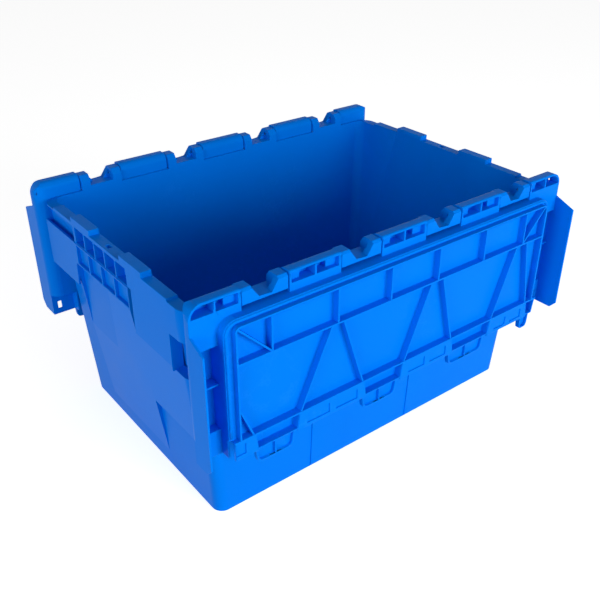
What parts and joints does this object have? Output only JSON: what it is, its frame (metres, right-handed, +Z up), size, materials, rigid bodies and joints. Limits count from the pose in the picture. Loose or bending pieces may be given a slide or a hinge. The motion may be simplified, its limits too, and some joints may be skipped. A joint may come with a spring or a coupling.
{
  "type": "attached lid container",
  "caption": "Tapered stacking and nesting plastic crate with two hinged half lids that interlock along the middle and hang down outside the long walls when open.",
  "frame": {"origin": "middle of the underside of the base, on the floor", "axes": "+X along the length of the crate, +Y towards the rear lid, +Z up; both lids hang open at rest"},
  "size_m": [0.6, 0.479, 0.334],
  "materials": {
    "blue_plastic": "semi-gloss injection moulded",
    "pin_steel": "drawn wire"
  },
  "bodies": {
    "container": {"container_body": "blue_plastic", "front_hinge_pin_1": "pin_steel", "front_hinge_pin_2": "pin_steel", "front_hinge_pin_3": "pin_steel", "front_hinge_pin_4": "pin_steel", "front_hinge_pin_5": "pin_steel", "front_hinge_pin_6": "pin_steel", "front_hinge_pin_7": "pin_steel", "front_hinge_pin_8": "pin_steel", "rear_hinge_pin_1": "pin_steel", "rear_hinge_pin_2": "pin_steel", "rear_hinge_pin_3": "pin_steel", "rear_hinge_pin_4": "pin_steel", "rear_hinge_pin_5": "pin_steel", "rear_hinge_pin_6": "pin_steel", "rear_hinge_pin_7": "pin_steel", "rear_hinge_pin_8": "pin_steel"},
    "front_lid": {"front_lid": "blue_plastic"},
    "rear_lid": {"rear_lid": "blue_plastic"}
  },
  "joints": [
    {"name": "front_lid_hinge", "type": "hinge", "parent": "container", "child": "front_lid", "pos_m": [0, -0.199, 0.324], "axis": [-1, 0, 0], "range_deg": [0, 270]},
    {"name": "rear_lid_hinge", "type": "hinge", "parent": "container", "child": "rear_lid", "pos_m": [0, 0.199, 0.324], "axis": [1, 0, 0], "range_deg": [0, 270]}
  ]
}
